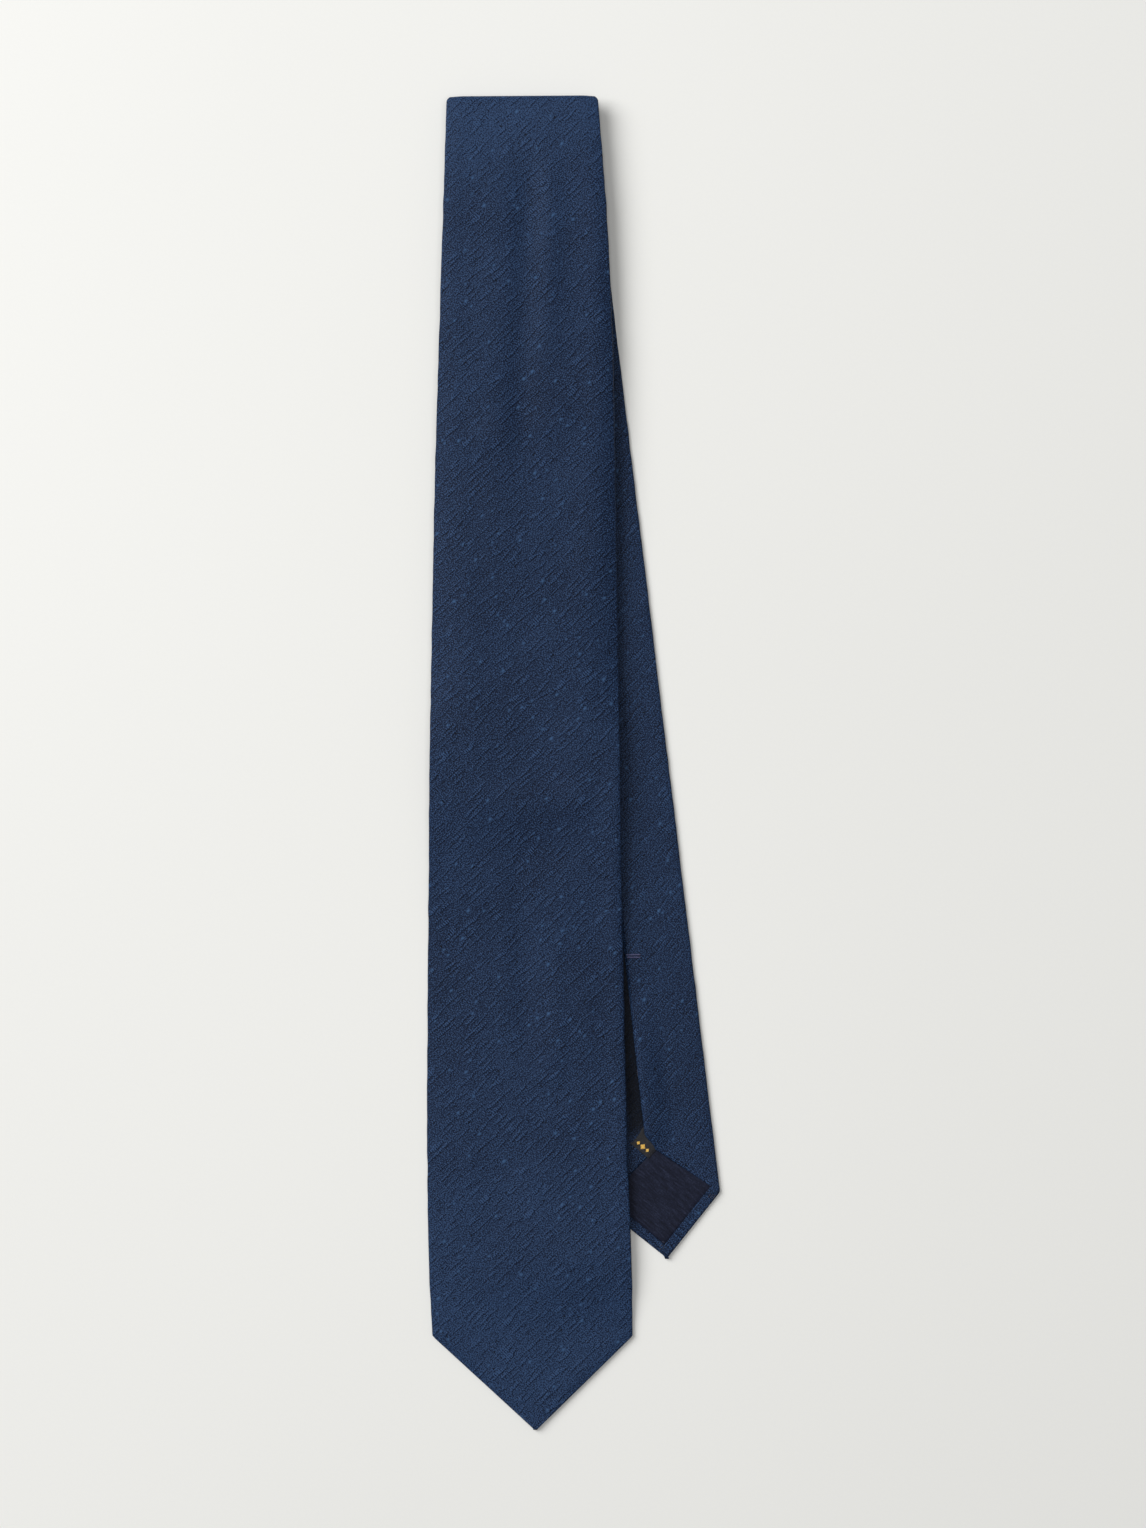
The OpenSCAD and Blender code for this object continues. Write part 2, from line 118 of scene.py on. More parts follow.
class Run:
    def __init__(self, name, foot, head, straight, cloth, foot_fold=None, head_fold=None):
        self.name = name
        self.foot = np.array(foot, float)
        way = np.array(head, float) - self.foot
        self.tilt = 0.0 if straight else math.atan2(-way[0], way[1])
        self.right = np.array([math.cos(self.tilt), math.sin(self.tilt)])
        self.up = np.array([-math.sin(self.tilt), math.cos(self.tilt)])
        self.length = float(way @ self.up)
        self.head_u = float(way @ self.right)
        self.slant_head = math.tan(folds[head_fold][1] - self.tilt) if head_fold else 0.0
        self.slant_foot = math.tan(folds[foot_fold][1] - self.tilt) if foot_fold else 0.0
        self.read_outline(cloth)

    def read_outline(self, cloth, step=1.0):
        """Left and right edge at stations s: the outermost crossings of the cloth's edges."""
        s0 = 0.0 if self.slant_foot == 0 else 8.0
        self.s = np.arange(s0, self.length - 8, step)
        left, right = np.full(len(self.s), np.inf), np.full(len(self.s), -np.inf)
        for node in cloth:
            p = node_points(node)[:, :2] - self.foot
            u, s = p @ self.right, p @ self.up
            ends = np.array([e.vertices[:] for e in frame["nodes"][node].data.edges])
            (ua, ub), (sa, sb) = u[ends].T, s[ends].T
            for i, at in enumerate(self.s + 0.01):
                hit = (sa - at) * (sb - at) < 0
                if hit.any():
                    cross = ua[hit] + (ub - ua)[hit] * (at - sa[hit]) / (sb - sa)[hit]
                    left[i], right[i] = min(left[i], cross.min()), max(right[i], cross.max())
        self.mid, self.half = (left + right) / 2, (right - left) / 2

    def soften(self, corner, spread=12):
        """Averages the outline over a few stations, except below the corners of a point."""
        kernel = np.hanning(2 * spread + 1)
        kernel = kernel / kernel.sum()
        mix = ramp((self.s - corner - 2) / spread)
        for name in ("mid", "half"):
            v = getattr(self, name)
            long = np.concatenate([2 * v[0] - v[spread:0:-1], v, 2 * v[-1] - v[-2:-spread - 2:-1]])
            soft = np.convolve(long, kernel, "valid")
            setattr(self, name, v * (1 - mix) + soft * mix)

    def roughen(self, seed, corner):
        """Real edges aren't ruled: the half width wanders by a tenth of a millimetre or two."""
        noise = np.random.default_rng(seed).normal(size=len(self.s) + 8)
        noise = np.convolve(noise, np.hanning(11)[1:-1] / 2.2, "valid")
        self.half = self.half + 0.06 * noise * ramp((self.s - corner) / 10)

    def edge(self, s):
        """(middle, half width) at any s, drawn on in a straight line past the outline's ends."""
        out = []
        for v in (self.mid, self.half):
            low = v[0] + (v[10] - v[0]) / (self.s[10] - self.s[0]) * np.minimum(s - self.s[0], 0)
            high = (v[-1] - v[-11]) / (self.s[-1] - self.s[-11]) * np.maximum(s - self.s[-1], 0)
            out.append(np.interp(s, self.s, v) + (low - v[0]) + high)
        return out

    def plan(self, u, s):
        """Point in the plan: foot + u right + s' up, where s' follows the creases at the ends."""
        s = s + (u - self.head_u) * self.slant_head * ramp((s - self.length + STRIP + TURN) / TURN)
        s = s + u * self.slant_foot * ramp((STRIP + TURN - s) / TURN)
        return (self.foot[0] + u * self.right[0] + s * self.up[0],
                self.foot[1] + u * self.right[1] + s * self.up[1])


(back_at, _), (neck_at, _), (front_at, _) = (
    folds[n] for n in ("back_top_fold", "neck_fold", "front_top_fold"))
tail = Run("tail", tip_of("tail_face"), back_at[:2], False, ["tail_face"],
           head_fold="back_top_fold")
neck_back = Run("neck_back", neck_at[:2], back_at[:2], False,
                ["neck_back_neck_cloth", "neck_back_tail_cloth"], "neck_fold", "back_top_fold")
neck_front = Run("neck_front", neck_at[:2], front_at[:2], False,
                 ["neck_front_neck_cloth", "neck_front_blade_cloth"], "neck_fold",
                 "front_top_fold")
blade = Run("blade", tip_of("blade_face"), front_at[:2], True, ["blade_face"],
            head_fold="front_top_fold")
RUNS = (tail, neck_back, neck_front, blade)
blade.soften(37)
neck_front.soften(0)
for seed, run in enumerate(RUNS):
    run.roughen(seed + 3, 40 if run in (tail, blade) else -10)
    print(run.name, "length %.1f" % run.length, "widest %.1f" % (2 * run.half.max()))

# %% [markdown]
# ## How the runs lie
# The three lower runs are flat. The blade lies on the neck and slopes down past it to the
# table, and where it reaches out over nothing its edges droop. Its face isn't quite even
# either: long valleys and ridges run up it, and a few low ones cross it.

# %% Heights
level = {n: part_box(node)[0].z / MM for n, node in
         (("tail", "tail_face"), ("neck_back", "neck_back_right_panel"),
          ("neck_front", "neck_front_neck_cloth"))}
blade_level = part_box("blade_right_panel")[1].z / MM - 0.7
TABLE_CLEAR, OVER_TAIL = 0.3, 3.45
SLOPE_FOOT, SLOPE_TOP = -80.0, neck_at[1] - 3.2
TAIL_GONE = (-225.0, -192.0)
BLADE_LEFT = blade.foot[0] - 42.5
DROOP_REACH = 17.0  # the edges droop over about this width past the neck


def side_x(run, y, side):
    """x of a run's left (-1) or right (1) edge at a height y in the plan."""
    s = (y - run.foot[1]) / run.up[1]
    mid, half = run.edge(s)
    return run.foot[0] + (mid + side * half) * run.right[0] + s * run.up[0]


def blade_under(x, y):
    """Height of the blade's underside: flat on the neck, a smooth slope down, then a ramp that
    rises from the table on the left to the tail on the right. Its edges droop past the neck."""
    tail_left = tail.foot[0] - (y - tail.foot[1]) * math.tan(tail.tilt) - tail.half.max()
    low = TABLE_CLEAR + (OVER_TAIL - TABLE_CLEAR) * ramp(
        (y - TAIL_GONE[0]) / (TAIL_GONE[1] - TAIL_GONE[0])) * np.clip(
        (x - BLADE_LEFT) / (tail_left - BLADE_LEFT), 0, 1)
    z = low + (blade_level - low) * ramp((y - SLOPE_FOOT) / (SLOPE_TOP - SLOPE_FOOT))
    along = ramp((y - 2) / 40) * ramp((245 - y) / 60)
    for side, drop in ((1, 3.0), (-1, 3.2)):
        over = np.maximum(side * (x - side_x(neck_front, y, side)) - 1, 0) / DROOP_REACH
        z = z - drop * along * over ** 2 / (1 + 0.3 * over ** 2)
    return z


LONG_WAVES = [  # x, lowest y, highest y, half width, height of ridges and valleys that run up
    (-18.5, 110, 250, 5.5, -0.85), (-11.0, 150, 245, 5.0, 0.75), (-30.0, 60, 240, 9.0, 0.50),
    (10.0, 60, 250, 7.0, 0.45), (-19.5, -125, -20, 5.0, -0.75), (-8.0, -135, -45, 3.6, 0.60),
    (-27.0, -150, -40, 8.0, 0.40), (4.0, -130, 30, 10.0, 0.35), (-40.0, -180, 40, 7.0, 0.3),
    (18.5, -175, 10, 5.0, 0.80)]
CROSS_WAVES = [  # y, leftmost x, rightmost x, half width, height of the ones that run across
    (133, -44, 6, 6.5, 0.80), (118, -46, 4, 5.5, -0.45), (186, -50, 10, 12, 0.30),
    (-13, -46, 14, 8.0, 0.65), (-32, -46, 14, 9.0, -0.40), (-205, -40, 10, 16.0, 0.40)]


def unevenness(x, y):
    """Height added to the blade's face: ridges and valleys with soft ends, and a slow ripple."""
    z = 0.10 * np.sin(x / 9.3 + y / 27) * np.sin(y / 19.0 - x / 31 + 1.0)
    z = z + 0.07 * np.sin(x / 4.7 - y / 36 + 2.0) * np.sin(y / 11.0 + 0.4)
    for at, low, high, width, height in LONG_WAVES:
        wander = at + 1.6 * np.sin(y / 33.0 + at)
        z = z + height * bump(x, wander, width) * ramp((y - low) / 25) * ramp((high - y) / 25)
    for at, low, high, width, height in CROSS_WAVES:
        wander = at + 2.5 * np.sin(x / 17.0 + at)
        z = z + height * bump(y, wander, width) * ramp((x - low) / 14) * ramp((high - x) / 14)
    return z * ramp((258 - y) / 14) * ramp((y - blade.foot[1]) / 12)


# %% [markdown]
# ## The pattern of a point
# At a point the back panels part in an upside-down V, and the cloth is hemmed along both
# slanted edges. The hems meet at the tip in a mitre, where the right one laps the left.
# How far in each side of the cloth reaches is all that the shell needs to know.

# %% How far the turned-in cloth reaches
UNDERLAP, LAP = 2.0, 3.4


class Point:
    def __init__(self, corner, parting, hems, mitre):
        self.corner, self.parting, self.hems, self.mitre = corner, parting, hems, mitre

    def lines(self, run, s):
        """(left, right) line of the hems and of the parting: the nearer of a line beside the
        slanted edge and one that falls from the middle of the parting to the corner."""
        half = run.edge(self.corner)[1]
        slope = half / self.corner
        parting = half * (self.parting - s) / (self.parting - self.corner)
        rise = [h / math.sin(math.atan(slope)) for h in self.hems]
        return [np.minimum(slope * (s - r), parting) for r in rise], max(rise)

    def reach(self, run, s):
        """Inner end u of the left and of the right turned-in cloth at s."""
        (left, right), meet = self.lines(run, s)
        mitre = -self.mitre * np.clip((meet - s) / (meet - self.mitre), -1, 1)
        below = s < meet
        left = np.where(below, mitre - 0.1, np.minimum(-left, UNDERLAP))
        gone = ramp((s - self.parting) / (2 * LAP))
        right = np.where(below, mitre, np.where(s < self.parting, right, -LAP * gone))
        return left, np.where(below, right, np.maximum(right, -LAP))


tail_point = Point(corner=23.7, parting=43.5, hems=(3.7, 4.2), mitre=2.4)
blade_point = Point(corner=37.0, parting=71.0, hems=(6.0, 6.0), mitre=0.6)

# %% [markdown]
# ## The shell's profile
# Cut across, the shell is one open loop. It starts at the turned-under edge of the left panel,
# runs out to the rolled left edge, round under the face, round the rolled right edge, and back
# in to the lapped edge of the right panel. The distance along this loop, and the distance along
# the ribbon, are the two coordinates of the weave, so slubs run unbroken over the edges.

# %% Columns of the profile
FACE_COLS, FLAP_COLS, ROLL_COLS = 41, 17, 7
BACK_H, LAP_H = 1.70, 2.05      # outer surface of the panels and of the lapped strip
SOFT_EDGE = 0.32                # the face sinks this much towards its rolled edges
ROLL = 0.65                     # reach of the rolled edge


def panel_height(run, u, s, share, side):
    """Depth h of a panel's outer surface: flat, a little crowned, and up over the other panel
    along the lap. The tail's lapped edge stands up above its parting, where the label is."""
    h = BACK_H + 0.22 * np.sin(math.pi * share) * ramp(s / 60) * ramp((run.length - s) / 40)
    if side > 0:
        near = ramp((UNDERLAP + 7 - u) / 8)
        h = h * (1 - near) + LAP_H * near
        if run is tail:
            h = h + 1.9 * ramp((9 - u) / 12) * ramp((s - 42) / 9) * ramp((106 - s) / 34)
    elif run is tail:
        h = h - 0.36 * ramp((u + 15) / 8) * ramp((s - 50) / 9) * ramp((125 - s) / 30)
    return h


def profile(run, point, s):
    """Arrays u, h and the cloth's own coordinates (c, v), with a row for each s: c is the
    distance round the loop from the middle of the face, and v the distance along the run. The
    last millimetre of a point closes like the end of an egg, sqrt(1 - (1 - s/r)^2), and a hem
    is the mirror image of the cloth beyond its slanted edge: p' = 2 (p . d) d - p."""
    mid, half = run.edge(s)
    left, right = point.reach(run, s) if point else (UNDERLAP + 0 * s, -LAP + 0 * s)
    stretch = 1.45 if point else 1.0
    wide = ROLL * np.where(s < (point.corner if point else -1), stretch, 1.0)
    wide = np.minimum(wide, half * 0.7)
    inner = half - wide
    t = np.linspace(0, 1, FLAP_COLS)[None]
    phi = np.linspace(0, math.pi, ROLL_COLS)[None, 1:-1]
    col = lambda a: np.asarray(a)[:, None]
    face_edge = SOFT_EDGE * ramp(s / 8)
    sides = {}
    for side, limit in ((-1, left), (1, right)):
        limit = np.clip(limit, -inner * 0.97, inner * 0.97)
        u = col(limit) * (1 - t) + col(side * inner) * t
        h = panel_height(run, u, col(s), t, side)
        curl_u = col(limit) + side * np.array([[0.75, 0.28, 0.02]])
        curl_h = h[:, :1] - np.array([[0.36, 0.32, 0.14]])
        low, top = col(face_edge), h[:, -1:]
        roll_u = col(side * inner) + side * col(wide) * np.sin(phi)
        roll_h = (low + top) / 2 + (top - low) / 2 * np.cos(phi)
        sides[side] = (np.hstack([curl_u, u, roll_u]), np.hstack([curl_h, h, roll_h]))
    f = np.linspace(-1, 1, FACE_COLS)[None]
    face_u = col(inner) * f
    face_h = col(face_edge) * np.exp(-((1 - np.abs(f)) * col(inner) / 2.6) ** 2)
    u = np.hstack([sides[-1][0], face_u, sides[1][0][:, ::-1]])
    h = np.hstack([sides[-1][1], face_h, sides[1][1][:, ::-1]])
    if point:
        close = np.sqrt(1 - (1 - np.clip(s / 1.3, 0.02, 1)) ** 2)
        h = 0.85 + (h - 0.85) * col(close)
    step = np.hypot(np.diff(u, axis=1), np.diff(h, axis=1))
    c = np.hstack([0 * col(s), np.cumsum(step, axis=1)])
    c = c - c[:, c.shape[1] // 2][:, None]
    v = col(s) + 0 * c
    if point:
        slant = math.atan(run.edge(point.corner)[1] / point.corner)
        flap = FLAP_COLS + 3
        for part, side in ((slice(0, flap), -1), (slice(-flap, None), 1)):
            way = (side * math.sin(slant), math.cos(slant))
            along = u[:, part] * way[0] + col(s) * way[1]
            hem = col(s) < point.corner
            c[:, part] = np.where(hem, 2 * along * way[0] - u[:, part], c[:, part])
            v[:, part] = np.where(hem, 2 * along * way[1] - col(s), v[:, part])
    return u + col(mid), h, (c, v)


def place(run, u, s, h):
    """Points in the frame: the plan of (u, s), and the height of the run's underside plus the
    depth h, or minus it for a run that lies face up."""
    s = np.broadcast_to(np.asarray(s, float).reshape(-1, 1), u.shape)
    x, y = run.plan(u, s)
    if run is blade:
        outer = ramp((1.2 - h) / 1.0)
        z = blade_under(x, y) + THICK - h + unevenness(x, y) * outer
    elif run is neck_back:
        z = level["neck_back"] + THICK - h
    else:
        z = level[run.name] + h
    return np.stack([x, y, z + 0 * u], -1)


# %% [markdown]
# ## From arrays to meshes
# Every piece of cloth is a grid of points. A second grid, one cloth's thickness further in,
# and a rim between the two close it, so that the outer surface stays where the pattern puts
# it. The rim's edges are sharp, so that the shading runs on evenly from a run to its fold.

# %% Grid pieces
def make_piece(name, points, faces, uv, material):
    """A smooth mesh from points in millimetres, with a uv pair for each of them."""
    mesh = bpy.data.meshes.new(name)
    mesh.from_pydata((points * MM).tolist(), [], faces)
    layer = mesh.uv_layers.new(name="cloth")
    loops = np.zeros(len(mesh.loops), np.int32)
    mesh.loops.foreach_get("vertex_index", loops)
    layer.data.foreach_set("uv", uv[loops].astype(np.float32).ravel())
    mesh.polygons.foreach_set("use_smooth", [True] * len(mesh.polygons))
    mesh.materials.append(material)
    piece = bpy.data.objects.new(name, mesh)
    bpy.context.scene.collection.objects.link(piece)
    return piece


def grid(name, points, uv, material, thick, flip=False):
    """A closed sheet from an array of points, rows x columns x 3, with a uv pair for each:
    inner = outer - n thick, where n is the cross product of the steps along columns and rows."""
    rows, cols = points.shape[:2]
    normal = np.cross(np.gradient(points, axis=1), np.gradient(points, axis=0))
    normal /= np.maximum(np.linalg.norm(normal, axis=2), 1e-9)[..., None]
    inner = points - normal * (-thick if flip else thick)
    i, n = np.arange(rows * cols).reshape(rows, cols), rows * cols
    outer = np.stack([i[:-1, :-1], i[:-1, 1:], i[1:, 1:], i[1:, :-1]], -1).reshape(-1, 4)
    ring = np.concatenate([i[0, :-1], i[:-1, -1], i[-1, :0:-1], i[:0:-1, 0]])
    ahead = np.roll(ring, -1)
    rim = np.stack([ahead, ring, ring + n, ahead + n], -1)
    quads = np.vstack([outer, outer[:, ::-1] + n, rim])
    if flip:
        quads = quads[:, ::-1]
    both = np.concatenate([points.reshape(-1, 3), inner.reshape(-1, 3)])
    uv = np.tile(uv.reshape(-1, 2), (2, 1))
    piece = make_piece(name, both, quads.tolist(), uv, material)
    all_edges = piece.data.edges
    edges = np.zeros(len(all_edges) * 2, np.int32)
    all_edges.foreach_get("vertices", edges)
    key = lambda a, b: np.minimum(a, b).astype(np.int64) * 2 * n + np.maximum(a, b)
    rims = np.concatenate([key(ring, ahead), key(ring + n, ahead + n)])
    all_edges.foreach_set("use_edge_sharp", np.isin(key(*edges.reshape(-1, 2).T), rims))
    return piece


def tubes(name, paths, radius, material, sides=8, twist=0.0):
    """Round threads along paths (arrays of points in millimetres), tapered at their ends:
    ring k of a path is p + r (n cos a + b sin a). twist adds a two-ply waist, r(1 + t cos 2a)."""
    verts, faces, uvs = [], [], []
    angle = np.linspace(0, 2 * math.pi, sides, endpoint=False)
    for path in paths:
        p = np.asarray(path, float)
        way = np.gradient(p, axis=0)
        way /= np.linalg.norm(way, axis=1)[:, None]
        flat = np.cross(way, [0.0, 0.0, 1.0])
        weak = np.linalg.norm(flat, axis=1) < 0.05
        flat[weak] = np.cross(way[weak], [0.0, 1.0, 0.0])
        flat /= np.linalg.norm(flat, axis=1)[:, None]
        high = np.cross(flat, way)
        run = np.concatenate([[0], np.cumsum(np.linalg.norm(np.diff(p, axis=0), axis=1))])
        taper = np.sqrt(np.clip(np.minimum(run, run[-1] - run) / radius, 0.04, 1))
        a = angle[None] + 0 * run[:, None]
        r = radius * taper[:, None] * (1 + twist * np.cos(2 * (a - 4.0 * run[:, None])))
        ring = p[:, None] + r[..., None] * (
            flat[:, None] * np.cos(a)[..., None] + high[:, None] * np.sin(a)[..., None])
        n, base = len(p), sum(len(v) for v in verts)
        verts.append(ring.reshape(-1, 3))
        uvs.append(np.stack([a, run[:, None] + 0 * a], -1).reshape(-1, 2))
        i = base + np.arange(n * sides).reshape(n, sides)
        j = np.roll(i, -1, axis=1)
        faces += np.stack([i[:-1], i[1:], j[1:], j[:-1]], -1).reshape(-1, 4).tolist()
        faces += [i[0].tolist(), i[-1][::-1].tolist()]
    return make_piece(name, np.vstack(verts), faces, np.vstack(uvs), material)


# %% [markdown]
# ## Materials
# A small helper keeps the node trees short: each call adds one node, wires what it is given,
# and returns its output. Lengths in the trees are millimetres of cloth.

# %% Node helper
class Tree:
    def __init__(self, name):
        self.material = bpy.data.materials.new(name)
        self.material.use_nodes = True
        self.nodes, self.links = self.material.node_tree.nodes, self.material.node_tree.links
        self.shader = self.nodes["Principled BSDF"]

    def add(self, kind, ins=None, out=0, **settings):
        node = self.nodes.new("ShaderNode" + kind)
        for key, value in settings.items():
            setattr(node, key, value)
        for key, value in (ins or {}).items():
            self.wire(value, node.inputs[key])
        return node.outputs[out]

    def wire(self, value, socket):
        if isinstance(value, bpy.types.NodeSocket):
            self.links.new(value, socket)
        else:
            socket.default_value = value

    def math(self, operation, a, b=0.0, clamp=False):
        return self.add("Math", {0: a, 1: b}, operation=operation, use_clamp=clamp)

    def cloth_uv(self, turn=0.0):
        uv = self.add("UVMap", uv_map="cloth")
        return self.add("Mapping", {"Vector": uv, "Rotation": (0, 0, math.radians(turn))})

    def noise(self, vector, along, across, detail=2.0, rough=0.5, shift=0.0):
        """Noise stretched to a length along the thread and a width across it."""
        v = self.add("Mapping", {"Vector": vector, "Location": (shift, shift * 0.7, shift),
                                 "Scale": (1 / along, 1 / across, 1)})
        return self.add("TexNoise", {"Vector": v, "Scale": 1.0, "Detail": detail,
                                     "Roughness": rough}, noise_dimensions="2D")

    def remap(self, value, low, high, to_low=0.0, to_high=1.0):
        return self.add("MapRange", {"Value": value, "From Min": low, "From Max": high,
                                     "To Min": to_low, "To Max": to_high})

    def smooth(self, value, low, high):
        return self.add("MapRange", {"Value": value, "From Min": low, "From Max": high},
                        interpolation_type="SMOOTHSTEP")

    def ramp(self, value, stops):
        node = self.nodes.new("ShaderNodeValToRGB")
        while len(node.color_ramp.elements) < len(stops):
            node.color_ramp.elements.new(0.5)
        for element, (at, colour) in zip(node.color_ramp.elements, stops):
            element.position, element.color = at, (*colour, 1)
        self.wire(value, node.inputs[0])
        return node.outputs[0]

    def mix(self, share, a, b):
        node = self.nodes.new("ShaderNodeMix")
        node.data_type = "RGBA"
        self.wire(share, node.inputs["Factor"])
        for value, socket in ((a, node.inputs[6]), (b, node.inputs[7])):
            self.wire(value if isinstance(value, bpy.types.NodeSocket) else (*value, 1), socket)
        return node.outputs[2]

    def bump(self, height, distance, strength=1.0):
        return self.add("Bump", {"Height": height, "Distance": distance * MM,
                                 "Strength": strength})

    def finish(self, colour, roughness, normal=None, **constants):
        self.wire(colour, self.shader.inputs["Base Color"])
        self.wire(roughness, self.shader.inputs["Roughness"])
        if normal:
            self.wire(normal, self.shader.inputs["Normal"])
        for key, value in constants.items():
            self.shader.inputs[key.replace("_", " ")].default_value = value
        return self.material


# %% [markdown]
# ## Slub silk
# Shantung is woven with an uneven weft: most of the yarn is fine, but every few millimetres it
# swells into a slub, and here and there a knot or a bright fibre end sticks out. The cloth is
# cut on the bias, so the weft crosses the tie at about 43 degrees. The colour comes from layers
# of noise stretched along that direction: fine yarns, broad streaks, slubs with the warp's tiny
# ticks across them and a line of painted shadow beside them, and scattered nubs. The blade's
# colour is lifted a little towards its point and towards the top fold, which is painted light,
# and where the attribute 'gap' is set the colour is darkened with painted shade.

# %% Silk material
WEFT = 43.0         # direction of the weft on the cloth, in degrees
TOP_AT = 522.0      # the top fold's distance along the ribbon, from the blade's point


def slub_silk(name, dark, middle, light, fleck):
    t = Tree(name)
    flat = t.cloth_uv(-WEFT)
    sway = t.add("TexNoise", {"Vector": t.add("Mapping", {"Vector": flat, "Scale": (1 / 14,) * 3}),
                              "Scale": 1.0, "Detail": 1.0}, out=1, noise_dimensions="2D")
    sway = t.add("VectorMath", {0: sway, 1: (0.5, 0.5, 0.5)}, operation="SUBTRACT")
    sway = t.add("VectorMath", {0: sway, 1: (0.8, 0.8, 0)}, operation="MULTIPLY")
    yarn = t.add("VectorMath", {0: flat, 1: sway}, operation="ADD")

    fine = t.noise(yarn, 4.0, 0.55, 2.5, 0.6)
    streak = t.noise(yarn, 15.0, 1.1, 2.0, 0.5, 31)
    broad = t.noise(yarn, 40.0, 4.0, 2.0, 0.5, 77)
    # painted shadow: the slub mask shifted 0.45 mm across the yarn, less the slub itself, darkens
    # a line beside each slub
    beside = t.add("VectorMath", {0: yarn, 1: (0.0, 0.45, 0.0)}, operation="ADD")
    slub, above = (t.smooth(t.noise(v, 9.0, 1.1, 1.0, 0.4, 123), 0.60, 0.69)
                   for v in (yarn, beside))
    shade = t.math("SUBTRACT", above, slub, clamp=True)
    x, y = (t.add("SeparateXYZ", {0: yarn}, out=o) for o in (0, 1))
    weft, warp = (t.math("SINE", t.math("MULTIPLY", a, 2 * math.pi / pitch))
                  for a, pitch in ((y, 0.60), (x, 0.92)))
    patches = t.noise(yarn, 2.2, 1.6, 1.0, 0.5, 11)
    tick = t.math("MULTIPLY", warp, t.remap(patches, 0.3, 0.6, 0.2, 1))
    weave = t.math("MULTIPLY", weft, warp)
    grain = t.noise(yarn, 0.54, 0.37, 1.0, 0.6, 5)
    along = t.add("SeparateXYZ", {0: t.cloth_uv()}, out=1)
    from_top = t.math("ABSOLUTE", t.math("SUBTRACT", along, TOP_AT))
    # painted light: the colour is lifted towards the blade's point and on both sides of the top
    # fold
    painted_light_ends = t.math("ADD", t.remap(along, 150, 20, 0, 0.17), t.math(
        "ADD", t.remap(from_top, 120, 10, 0, 0.08), t.remap(from_top, 32, 6, 0, 0.16)))
    cloud = t.noise(flat, 38.0, 26.0, 2.0, 0.5, 9)

    value = t.math("ADD", painted_light_ends, 0.5)
    for part, weight in ((fine, 0.50), (streak, 0.15), (broad, 0.15), (cloud, 0.20), (grain, 2.8)):
        value = t.math("ADD", value, t.math("MULTIPLY", t.math("SUBTRACT", part, 0.5), weight))
    rungs = t.math("MULTIPLY", slub, t.math("ADD", t.math("MULTIPLY", tick, 0.60), 0.25))
    rungs = t.math("SUBTRACT", rungs, t.math("MULTIPLY", shade, 0.30))
    value = t.math("ADD", t.math("ADD", value, rungs), t.math("MULTIPLY", weave, 0.10))
    colour = t.ramp(value, [(0.0, dark), (0.45, middle), (1.0, light)])

    cells = t.add("Mapping", {"Vector": yarn, "Scale": (1 / 4.4, 1 / 3.0, 1)})
    near, tint = (t.add("TexVoronoi", {"Vector": cells, "Scale": 1.0}, out=o,
                        voronoi_dimensions="2D") for o in (0, 1))
    pick = t.add("SeparateColor", {0: tint}, out=0)
    size = t.add("SeparateColor", {0: tint}, out=1)
    ragged = t.math("ADD", near, t.math("MULTIPLY", t.math("SUBTRACT", grain, 0.5), 0.55))
    spot = t.smooth(t.math("SUBTRACT", ragged, t.math("MULTIPLY", size, 0.10)), 0.10, 0.0)
    bright = t.math("MULTIPLY", spot, t.math("GREATER_THAN", pick, 0.90))
    knot = t.math("MULTIPLY", spot, t.math("LESS_THAN", pick, 0.12))
    colour = t.mix(t.math("MULTIPLY", bright, 0.7), colour, fleck)
    colour = t.mix(t.math("MULTIPLY", knot, 0.8), colour, [c * 0.35 for c in dark])

    # painted shade: where 'gap' is set, the colour is drawn towards a fifth of the dark tone
    gap = t.math("MULTIPLY", t.add("Attribute", out=2, attribute_name="gap"), 0.85)
    colour = t.mix(gap, colour, [c * 0.2 for c in dark])

    height = t.math("MULTIPLY", slub, t.math("ADD", t.math("MULTIPLY", tick, 0.20), 0.60))
    for part, weight in ((fine, 0.35), (streak, 0.35), (grain, 0.55), (weave, 0.12),
                         (bright, 0.5), (knot, -0.3)):
        height = t.math("ADD", height, t.math("MULTIPLY", part, weight))
    rough = t.remap(value, 0.2, 0.9, 0.58, 0.46)
    return t.finish(colour, rough, t.bump(height, 0.16), Specular_IOR_Level=0.10,
                    Sheen_Weight=0.03, Sheen_Roughness=0.4, Sheen_Tint=(0.45, 0.65, 1.0, 1))


silk = slub_silk("slub_silk", (0.0008, 0.0024, 0.0088), (0.0046, 0.0120, 0.0358),
                 (0.0300, 0.0650, 0.1500), (0.0480, 0.1120, 0.2400))

# %% [markdown]
# ## Lining, wool, threads and the label
# The tipping is a plainer, darker silk with finer slubs. The interlining is brushed wool. The
# label is a shiny satin ribbon, and its row of lozenges is woven in gold yarn.

# %% The other materials
def lining():
    t = Tree("tipping_silk")
    flat = t.cloth_uv(47.0)
    fine = t.noise(flat, 4.0, 0.6, 2.0, 0.6)
    streak = t.noise(flat, 9.0, 1.3, 2.0, 0.5, 12)
    grain = t.noise(flat, 0.6, 0.6, 2.0, 0.7, 3)
    value = t.math("ADD", t.math("MULTIPLY", fine, 0.35), t.math("MULTIPLY", streak, 0.25))
    value = t.math("ADD", value, t.math("MULTIPLY", grain, 0.4))
    colour = t.ramp(value, [(0.30, (0.0035, 0.0045, 0.0100)), (0.52, (0.0085, 0.0112, 0.0262)),
                            (0.72, (0.0230, 0.0295, 0.0600))])
    return t.finish(colour, t.remap(value, 0.3, 0.7, 0.66, 0.55), t.bump(value, 0.14),
                    Specular_IOR_Level=0.10, Sheen_Weight=0.02)


